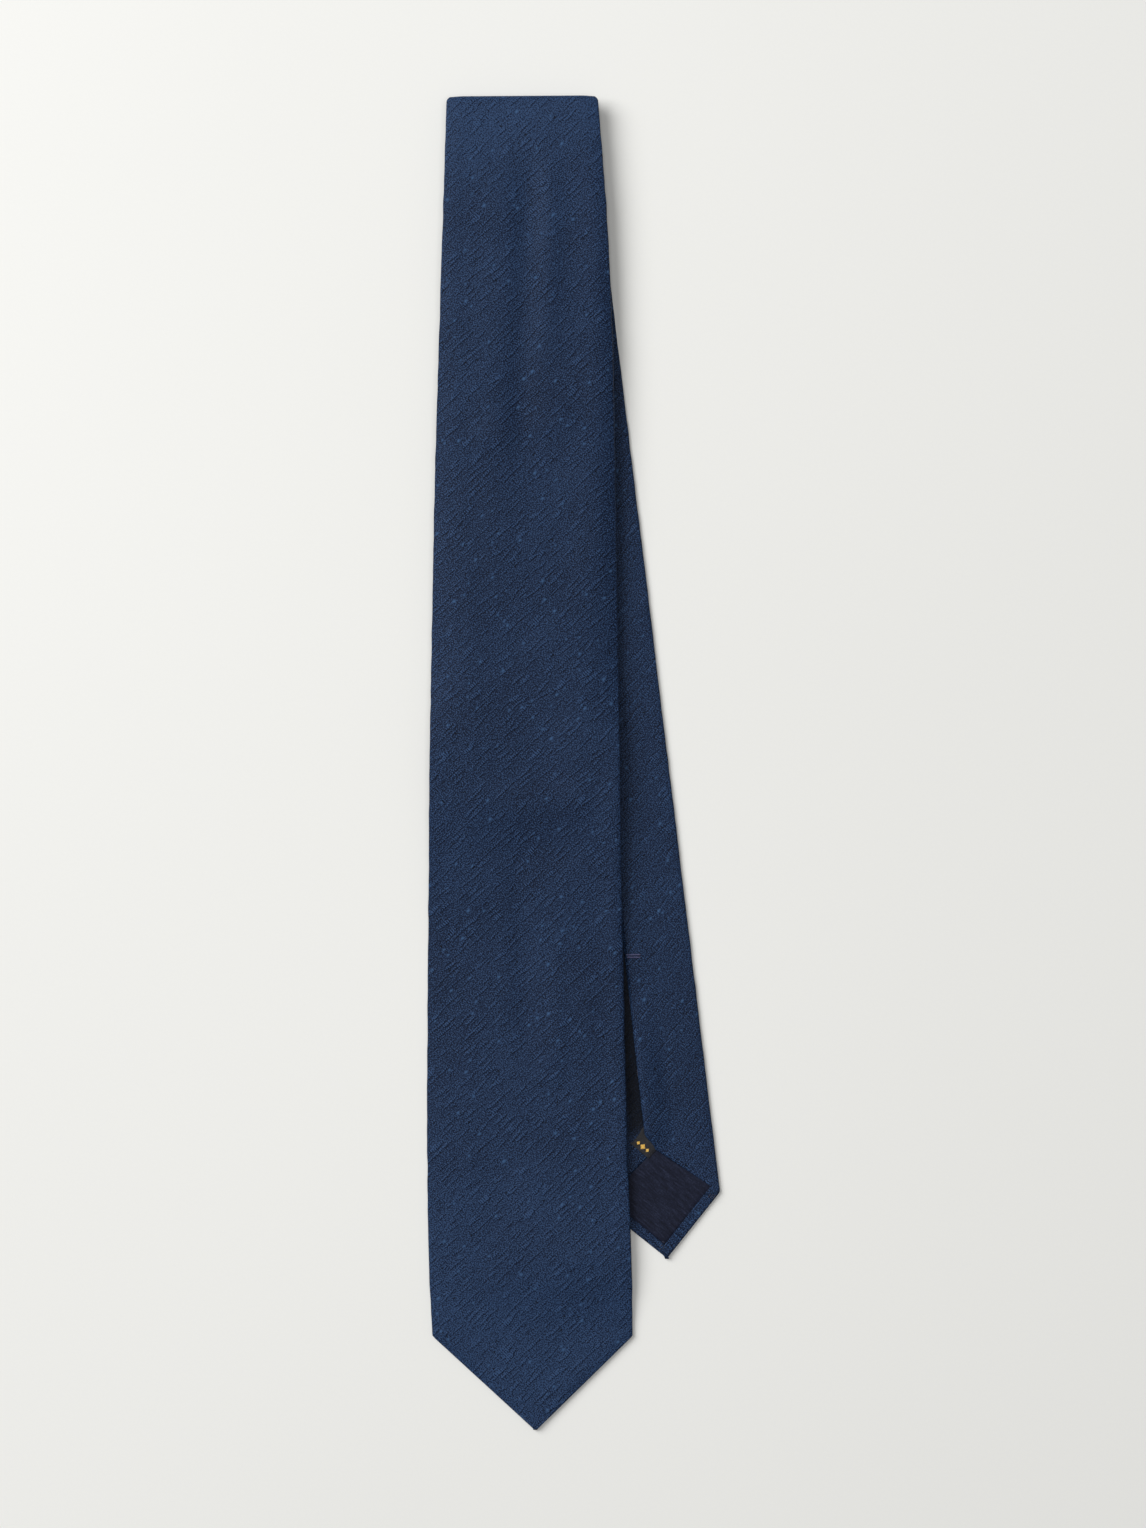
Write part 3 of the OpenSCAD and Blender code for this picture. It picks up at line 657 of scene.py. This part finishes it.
def wool():
    t = Tree("wool_interlining")
    flat = t.cloth_uv()
    nap = t.noise(flat, 1.6, 0.5, 4.0, 0.7)
    weave = t.add("TexWave", {"Vector": flat, "Scale": 0.9, "Distortion": 1.5, "Detail": 2.0})
    value = t.math("ADD", t.math("MULTIPLY", nap, 0.7), t.math("MULTIPLY", weave, 0.3))
    colour = t.ramp(value, [(0.25, (0.46, 0.42, 0.34)), (0.75, (0.76, 0.73, 0.65))])
    return t.finish(colour, 0.95, t.bump(value, 0.2), Sheen_Weight=0.3, Specular_IOR_Level=0.1)


def spun(name, dark, light, gloss=0.5):
    t = Tree(name)
    flat = t.cloth_uv()
    slant = t.add("Mapping", {"Vector": flat, "Rotation": (0, 0, 0.9)})
    ply = t.add("TexWave", {"Vector": slant, "Scale": 3.0, "Distortion": 0.6, "Detail": 1.0})
    fuzz = t.noise(flat, 0.5, 0.5, 3.0, 0.6)
    value = t.math("ADD", t.math("MULTIPLY", ply, 0.65), t.math("MULTIPLY", fuzz, 0.35))
    return t.finish(t.ramp(value, [(0.2, dark), (0.8, light)]), gloss, t.bump(value, 0.06),
                    Specular_IOR_Level=0.35, Sheen_Weight=0.15)


def satin():
    t = Tree("label_satin")
    flat = t.cloth_uv()
    floats = t.noise(flat, 1.4, 0.16, 2.0, 0.5)
    rib = t.add("TexWave", {"Vector": flat, "Scale": 1.6, "Distortion": 0.4},
                bands_direction="Y")
    value = t.math("ADD", t.math("MULTIPLY", floats, 0.8), t.math("MULTIPLY", rib, 0.2))
    colour = t.ramp(value, [(0.3, (0.005, 0.005, 0.007)), (0.75, (0.017, 0.018, 0.024))])
    return t.finish(colour, t.remap(value, 0.3, 0.7, 0.50, 0.38), t.bump(value, 0.05),
                    Specular_IOR_Level=0.22, Anisotropic=0.5)


tipping_silk, wool_cloth, label_satin = lining(), wool(), satin()
sewing = spun("navy_sewing_thread", (0.008, 0.008, 0.020), (0.045, 0.045, 0.095))
tack_thread = spun("tack_thread", (0.030, 0.032, 0.080), (0.120, 0.125, 0.290))
gold = spun("gold_yarn", (0.80, 0.40, 0.04), (1.0, 0.74, 0.20), 0.34)

# %% [markdown]
# ## The shells of the four runs
# Rows lie close together at the points, where hems and mitre need it, and wider apart on the
# straight. Each shell stops short of its folds: the cloth of a fold is a piece of its own,
# because it has to bend when the fold opens.

# %% Shells
CLOTH = 0.3         # thickness of the silk
ROLL_LEN = 6.9      # cloth that goes round the outside of one fold
START = {"blade": (0.0, 1), "neck_front": (blade.length + ROLL_LEN + neck_front.length, -1)}
START["neck_back"] = (START["neck_front"][0] + ROLL_LEN, 1)
START["tail"] = (START["neck_back"][0] + neck_back.length + ROLL_LEN + tail.length, -1)
BACK_UP = (tail, neck_front)
points_of = {"tail": tail_point, "blade": blade_point}


def ribbon_uv(run, weave):
    """Weave coordinates: distance round the profile, and distance along the whole ribbon."""
    (c, v), (start, way) = weave, START[run.name]
    return np.stack([c, start + way * v], -1)


def rows_of(run, step=1.5):
    """Values of s from one end of a run to the other, dense below a point's parting."""
    point = points_of.get(run.name)
    low = STRIP
    first = np.array([])
    if point:
        low = point.parting + 9
        first = np.concatenate([[0, 0.25, 0.5, 0.8, 1.2, 1.6], np.arange(2.1, low - 0.2, 0.7)])
    last = run.length - STRIP
    return np.concatenate([first, np.linspace(low, last, int((last - low) / step) + 1)])


def shell_section(run, s):
    return profile(run, points_of.get(run.name), s)


def shell_of(run):
    """The shell of a run. On the tail the lapped edge stands open, and hardly any light gets
    down to the left panel beside it: the attribute 'gap' is 1 there, and the silk darkens its
    colour there with painted shade."""
    s = rows_of(run)
    u, h, weave = shell_section(run, s)
    piece = grid(run.name + "_shell", place(run, u, s, h), ribbon_uv(run, weave), silk, CLOTH,
                 flip=run in BACK_UP)
    if run is tail:
        left, up = np.arange(u.shape[1]) < FLAP_COLS + 3, s[:, None]
        # painted shade mask on the tail's left panel, beside the open lap
        gap = left * ramp((u + 11) / 3) * ramp((up - 46) / 8) * ramp((150 - up) / 20)
        layer = piece.data.attributes.new("gap", "FLOAT", "POINT")
        layer.data.foreach_set("value", np.tile(gap.ravel(), 2).astype(np.float32))
    return piece


shells = {run.name: shell_of(run) for run in RUNS}
panels = ["face", "left_panel", "right_panel", "left_hem", "right_hem"]
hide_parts(*["tail_" + p for p in panels])
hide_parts(*["blade_" + p for p in panels])
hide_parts("neck_back_neck_cloth", "neck_back_tail_cloth",
            "neck_back_left_panel", "neck_back_right_panel")
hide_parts("neck_front_neck_cloth", "neck_front_blade_cloth",
            "neck_front_left_panel", "neck_front_right_panel")
for name, piece in shells.items():
    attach(piece, name)
    print(piece.name, len(piece.data.vertices), "points")

# %% [markdown]
# ## The folds
# Round a fold the cloth turns half a circle about the hinge. The face is on the outside of the
# two top folds, and on the inside of the lower one. Every point keeps its distance from the
# hinge, so the same rule serves the outer roll, the crease inside and the interlining.

# %% Cloth round a fold
ARC_ROWS = 13
DRAW_IN = 0.9       # how much narrower the cloth is, on each side, round a fold


def round_fold(fold, lower, upper, section):
    """Rows of points: the last of the lower run, half a turn about the hinge, then the upper
    run. In the turn a point is O + a q + n r cos(w) + z r sin(w), where q and r go from the
    lower run's last row to the upper run's, and q draws in a little where the cloth is bent
    most: q' = m + (q - m)(1 - d cos(w) / half)."""
    at, angle = folds[fold]
    axis = np.array([math.cos(angle), math.sin(angle), 0])
    top = lower.length > 100 and abs(at[1] - lower.foot[1]) > 100
    out = np.array([-axis[1], axis[0], 0]) * (1 if top else -1)

    def leg(run):
        ends = np.linspace(STRIP, 0, 9)
        s = run.length - ends if top else ends
        u, h, weave = section(run, s)
        return place(run, u, s, h), ribbon_uv(run, weave)

    (low, low_uv), (high, high_uv) = leg(lower), leg(upper)
    a, b = low[-1], high[-1]
    turn = np.linspace(-math.pi / 2, math.pi / 2, ARC_ROWS)[1:-1, None]
    share = turn / math.pi + 0.5
    q = (a - at) @ axis * (1 - share) + (b - at) @ axis * share
    r = (at[2] - a[:, 2]) * (1 - share) + (b[:, 2] - at[2]) * share
    most, least = q.max(axis=1)[:, None], q.min(axis=1)[:, None]
    m, half = (most + least) / 2, (most - least) / 2
    q = m + (q - m) * (1 - DRAW_IN * np.cos(turn) ** 2 / half)
    arc = (at + q[..., None] * axis + (r * np.cos(turn))[..., None] * out
           + (r * np.sin(turn))[..., None] * np.array([0, 0, 1.0]))
    arc_uv = low_uv[-1] * (1 - share)[..., None] + high_uv[-1] * share[..., None]
    return np.vstack([low, arc, high[::-1]]), np.vstack([low_uv, arc_uv, high_uv[::-1]])


def bend(piece):
    """Bakes the piece's placement into its points; nothing attaches it to either run."""
    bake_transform(piece)


FOLDS = [("back_top_fold", "back_fold", tail, neck_back),
         ("neck_fold", "neck_fold", neck_back, neck_front),
         ("front_top_fold", "front_fold", neck_front, blade)]
for fold, name, lower, upper in FOLDS:
    pts, uv = round_fold(fold, lower, upper, shell_section)
    piece = grid(name + "_shell", pts, uv, silk, CLOTH, flip=True)
    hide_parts(name + "_roll")
    bend(piece)

# %% [markdown]
# ## The interlining
# A strip of brushed wool fills each run from edge to edge, and goes round the folds with the
# silk. It is what makes a tie spring back, and why its edges are round.

# %% Interlining
WOOL_H, WOOL_THICK = 0.42, 0.8
BLADE_WOOL = 0.55   # the blade's own interlining is drawn thinner


def wool_section(run, s):
    """A single layer just under the face, in as far as the rolled edges leave room."""
    mid, half = run.edge(np.asarray(s, float))
    u = (half - 1.3)[:, None] * np.linspace(-1, 1, 25)[None]
    h = WOOL_H + SOFT_EDGE * np.exp(-(((half - 1.0)[:, None] - np.abs(u)) / 2.6) ** 2) * 0.6
    return u + mid[:, None], h, (u, s[:, None] + 0 * u)


for run in RUNS:
    s = rows_of(run, 3.0)
    s = s[s > 4] if run.name in points_of else s
    u, h, weave = wool_section(run, s)
    piece = grid(run.name + "_wool", place(run, u, s, h), ribbon_uv(run, weave), wool_cloth,
                 BLADE_WOOL if run is blade else WOOL_THICK, flip=run in BACK_UP)
    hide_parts(run.name + "_interlining")
    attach(piece, run.name)
for fold, name, lower, upper in FOLDS:
    pts, uv = round_fold(fold, lower, upper, wool_section)
    piece = grid(name + "_wool", pts, uv, wool_cloth, WOOL_THICK, flip=True)
    bend(piece)

# %% [markdown]
# ## The tipping
# Where the back parts, a triangle of lining silk covers the interlining. Its edges run in under
# the hems and the panels.

# %% Tipping
TIP_H = 1.56        # depth of its outer surface
TUCK = 1.6          # it runs in under the hems and panels by this much


def tipping_of(run, point):
    """A grid between the hem and parting lines, 1.6 mm wider each way, that dips under them."""
    s = np.arange(0, point.parting + 5, 0.8)
    lines, meet = point.lines(run, s)
    keep = s > meet - 1.5
    s = s[keep]
    left, right = (np.maximum(line[keep], -1.0)[:, None] + TUCK for line in lines)
    f = np.linspace(-1, 1, 33)[None]
    u = np.where(f < 0, f * left, f * right)
    inside = np.minimum(u + left, right - u) - TUCK
    inside = np.minimum(inside, s[:, None] - meet)
    h = TIP_H - 0.34 * ramp((0.9 - inside) / 1.4)
    h = h + 0.10 * np.sin(u / 3.1 + s[:, None] / 5.0) * ramp(inside / 3)
    mid = run.edge(s)[0]
    uv = np.stack([u, s[:, None] + 0 * u], -1)
    piece = grid(run.name + "_lining", place(run, u + mid[:, None], s, h), uv, tipping_silk,
                 0.2, flip=run is blade)
    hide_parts(run.name + "_tipping")
    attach(piece, run.name)


for run in (tail, blade):
    tipping_of(run, points_of[run.name])

# %% [markdown]
# ## Threads
# A bar tack holds the end of the back seam, slip stitches run up the lapped edge, and small
# stitches close the mitre and the corner of the hem. All are short arcs of thread that come up
# through the cloth, lie over it and go down again.

# %% Stitches
rng = np.random.default_rng(7)


def arc_path(run, start, end, h, rise, count=9):
    """A stitch from start to end, both (u, s), standing rise above depth h in its middle:
    h + rise sin(pi t)^0.6, sunk a little at both ends."""
    t = np.linspace(0, 1, count)
    u = start[0] + (end[0] - start[0]) * t
    s = start[1] + (end[1] - start[1]) * t
    lift = rise * np.sin(math.pi * t) ** 0.6 - 0.18 * (np.abs(2 * t - 1) > 0.9)
    mid = run.edge(s)[0]
    return np.stack([place(run, np.array([[a + m]]), [b], np.array([[h + l]]))[0, 0]
                     for a, b, m, l in zip(u, s, mid, lift)])


def sew(name, run, node, paths, radius, material, twist=0.12):
    piece = tubes(name, paths, radius, material, twist=twist)
    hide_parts(node)
    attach(piece, run.name)
    return piece


def bar_tack(run, up):
    """Two doubled threads side by side, level with the table's edge rather than the tie's."""
    slope = -math.tan(run.tilt)
    paths = [arc_path(run, (a, up + gap + slope * a), (b, up + gap + slope * b),
                      LAP_H + 0.16, 0.26, count=17)
             for a, b, gap in ((-2.9, 3.0, 0.50), (-2.7, 2.9, -0.50))]
    return sew(run.name + "_tack", run, run.name + "_bar_tack", paths, 0.27, tack_thread, 0.2)


def slip_stitches(run, low, high, count=14):
    paths, u = [], -LAP - 0.12
    for i in range(count):
        s = low + (high - low) * (i + 0.5) / count + rng.uniform(-1.2, 1.2)
        paths.append(arc_path(run, (u, s - 1.5), (u + 0.1, s + 1.5), BACK_H + 0.08, 0.10))
    return sew(run.name + "_slip", run, run.name + "_slip_stitch", paths, 0.12, sewing)


bar_tack(tail, 120.0)
bar_tack(blade, 120.0)
slip_stitches(tail, 60, tail.length - 10)
slip_stitches(neck_back, 12, neck_back.length - 12)
slip_stitches(neck_front, 12, neck_front.length - 12)
slip_stitches(blade, 115, blade.length - 14)
sew("tail_mitre_stitches", tail, "tail_tip_stitch",
    [arc_path(tail, (-0.2 - 0.75 * i, 6.3 - 1.25 * i), (-1.3 - 0.75 * i, 6.9 - 1.25 * i),
              BACK_H + 0.02, 0.16) for i in range(3)], 0.13, sewing)
sew("blade_mitre_stitches", blade, "blade_tip_stitch",
    [arc_path(blade, (0.7, 3.2 + 1.5 * i), (-0.7, 3.6 + 1.5 * i), BACK_H + 0.02, 0.14)
     for i in range(3)], 0.11, sewing)
sew("tail_corner_stitches", tail, "tail_corner_stitch",
    [arc_path(tail, (20.4 - 1.0 * i, 21.3 + 0.3 * i), (22.0 - 1.0 * i, 23.0 + 0.3 * i),
              BACK_H + 0.02, 0.16) for i in range(3)], 0.13, sewing)

# %% [markdown]
# ## The label
# A narrow satin ribbon with turned ends lies slantwise under the lapped edge. Three lozenges in
# gold yarn stand on it as short satin stitches side by side.

# %% Label
LABEL_FOOT, LABEL_TURN = np.array([-6.1, 43.45]), math.radians(-46)
LABEL_W, LABEL_LEN = 9.6, 8.2       # its width, and the length that is drawn


def label_point(a, b):
    """(u, s) on the tail of a point a across and b up the label."""
    ca, sa = math.cos(LABEL_TURN), math.sin(LABEL_TURN)
    return LABEL_FOOT[0] + a * ca - b * sa, LABEL_FOOT[1] + a * sa + b * ca


a, b = np.meshgrid(np.linspace(-LABEL_W / 2, LABEL_W / 2, 27), np.linspace(0, LABEL_LEN, 21))
u, s = label_point(a, b)
h = BACK_H + 0.24 + 0.10 * bump(b, 0.0, 0.5) + 0.06 * np.sin(a / 1.7) - 0.10 * bump(
    np.abs(a), LABEL_W / 2, 0.5)
pts = np.stack([place(tail, u[i:i + 1], s[i:i + 1, :1], h[i:i + 1])[0] for i in range(len(u))])
pts[..., 0], pts[..., 1] = tail.plan(u, s)
label = grid("label_ribbon", pts, np.stack([a, b], -1), label_satin, 0.16)
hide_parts("label")
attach(label, "tail")


def tail_path(points, h):
    """Points on the tail's back: places (u, s) at a depth h."""
    return np.array([[*tail.plan(u, s), level["tail"] + k] for (u, s), k in zip(points, h)])


yarns = []
for i in (-1, 0, 1):
    wide, tall = (2.3, 2.9) if i == 0 else (1.5, 1.9)
    for k in np.arange(-wide / 2 + 0.1, wide / 2, 0.17):
        half = tall / 2 * (1 - abs(k) / (wide / 2))
        if half > 0.12:
            t = np.linspace(-1, 1, 7)
            yarns.append(tail_path([label_point(2.3 * i + k, 2.1 + half * q) for q in t],
                                   BACK_H + 0.30 + 0.07 * np.cos(t * 1.4)))
motif = tubes("label_lozenges", yarns, 0.095, gold, twist=0.1)
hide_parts("label_motif")
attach(motif, "tail")
stitches = [tail_path([label_point(side * (LABEL_W / 2 - 0.45), 0.55 + 1.1 * i + 0.8 * q)
                       for q in np.linspace(0, 1, 7)],
                      BACK_H + 0.22 + 0.16 * np.sin(math.pi * np.linspace(0, 1, 7)))
            for side in (-1, 1) for i in range(2)]
sew("label_edge_stitches", tail, "label_stitches", stitches, 0.09, sewing)

# %% [markdown]
# ## The keeper loop
# Across the back of the blade a strap of the same silk keeps the tail in place when the tie is
# worn. Its ends are turned under and sewn to the panels.

# %% Keeper loop
KEEPER_SPAN, KEEPER_W, KEEPER_UP = 52.0, 12.0, 190.0
round_way = np.linspace(-1, 1, 61)
s_way = np.linspace(-1, 1, 13)
u = (KEEPER_SPAN / 2) * round_way[None] + 0 * s_way[:, None]
s = KEEPER_UP + KEEPER_W / 2 * s_way
mid = blade.edge(s)[0]
h = THICK + 0.80 - 1.16 * ramp((np.abs(u) - 21.5) / 3.6)
h = h - 0.16 * np.abs(s_way[:, None]) ** 6 + 0.05 * np.sin(u / 4.0)
strap = grid("keeper_strap", place(blade, u + mid[:, None], s, h),
             np.stack([s[:, None] + 0 * u, u], -1), silk, 0.34, flip=True)
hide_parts("keeper_loop")
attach(strap, "blade")
sew("keeper_end_stitches", blade, "keeper_stitches",
    [arc_path(blade, (side * 25.3, KEEPER_UP + 2.2 * i), (side * 26.6, KEEPER_UP + 2.2 * i),
              BACK_H + 0.02, 0.22) for side in (-1, 1) for i in range(-2, 3)], 0.10, sewing)

# %% [markdown]
# ## What counts as cloth
# The flat size that a cutter would give each shell, the profile's whole length round by the
# run's length, is worked out here, and the length round each fold; nothing further is done with
# them.

def round_length(run, s=None):
    s = rows_of(run) if s is None else s
    u, h, _ = shell_section(run, s)
    return s, np.hypot(np.diff(u, axis=1), np.diff(h, axis=1)).sum(axis=1)


for run in RUNS:
    s, loop = round_length(run)
for fold, name, lower, upper in FOLDS:
    wide = round_length(lower, np.array([lower.length - 5 if name != "neck_fold" else 5.0]))[1][0]

# %% [markdown]
# ## Table, light and camera
# The tie lies on a pale board under a large soft light from the upper left and a fainter one
# overhead. The camera looks straight down.

# %% Stage
def board():
    t = Tree("pale_board")
    at = t.add("TexCoord", out=3)
    speck = t.add("TexNoise", {"Vector": at, "Scale": 900.0, "Detail": 2.0})
    cloud = t.add("TexNoise", {"Vector": at, "Scale": 3.0, "Detail": 1.0})
    value = t.math("ADD", t.math("MULTIPLY", speck, 0.3), t.math("MULTIPLY", cloud, 0.7))
    colour = t.ramp(value, [(0.2, (0.80, 0.80, 0.775)), (0.8, (0.83, 0.83, 0.805))])
    return t.finish(colour, 0.8, t.bump(speck, 0.05, 0.3), Specular_IOR_Level=0.15)


mesh = bpy.data.meshes.new("board")
mesh.from_pydata([(-4, -4, 0), (4, -4, 0), (4, 4, 0), (-4, 4, 0)], [], [(0, 1, 2, 3)])
mesh.materials.append(board())
floor = bpy.data.objects.new("board", mesh)
bpy.context.scene.collection.objects.link(floor)

world = bpy.data.worlds.new("studio")
world.use_nodes = True
world.node_tree.nodes["Background"].inputs["Color"].default_value = (1.0, 0.99, 0.97, 1)
world.node_tree.nodes["Background"].inputs["Strength"].default_value = 0.165
bpy.context.scene.world = world


def soft_light(name, at, size, power, colour=(1, 1, 1)):
    lamp = bpy.data.lights.new(name, "AREA")
    lamp.shape, lamp.size, lamp.energy, lamp.color = "DISK", size, power, colour
    thing = bpy.data.objects.new(name, lamp)
    thing.location = at
    way = -np.array(at)
    flat = math.hypot(way[0], way[1])
    thing.rotation_euler = (math.atan2(flat, -way[2]), 0, math.atan2(way[1], way[0]) - math.pi / 2)
    bpy.context.scene.collection.objects.link(thing)
    return thing


soft_light("window", (-1.85, 1.10, 2.05), 2.4, 88.0)
soft_light("overhead", (0.20, 0.0, 3.0), 1.6, 25.0)

cam = bpy.data.cameras.new("camera")
cam.lens, cam.sensor_width, cam.clip_start, cam.clip_end = 100, 36, 0.05, 20
eye = bpy.data.objects.new("camera", cam)
FIELD = 0.601       # height of the view at the tie's mean height
eye.location = (0, 0, 0.005 + FIELD / 2 / (36 / 2 / 100))
bpy.context.scene.collection.objects.link(eye)
bpy.context.scene.camera = eye
bpy.context.scene.view_settings.view_transform = "Standard"
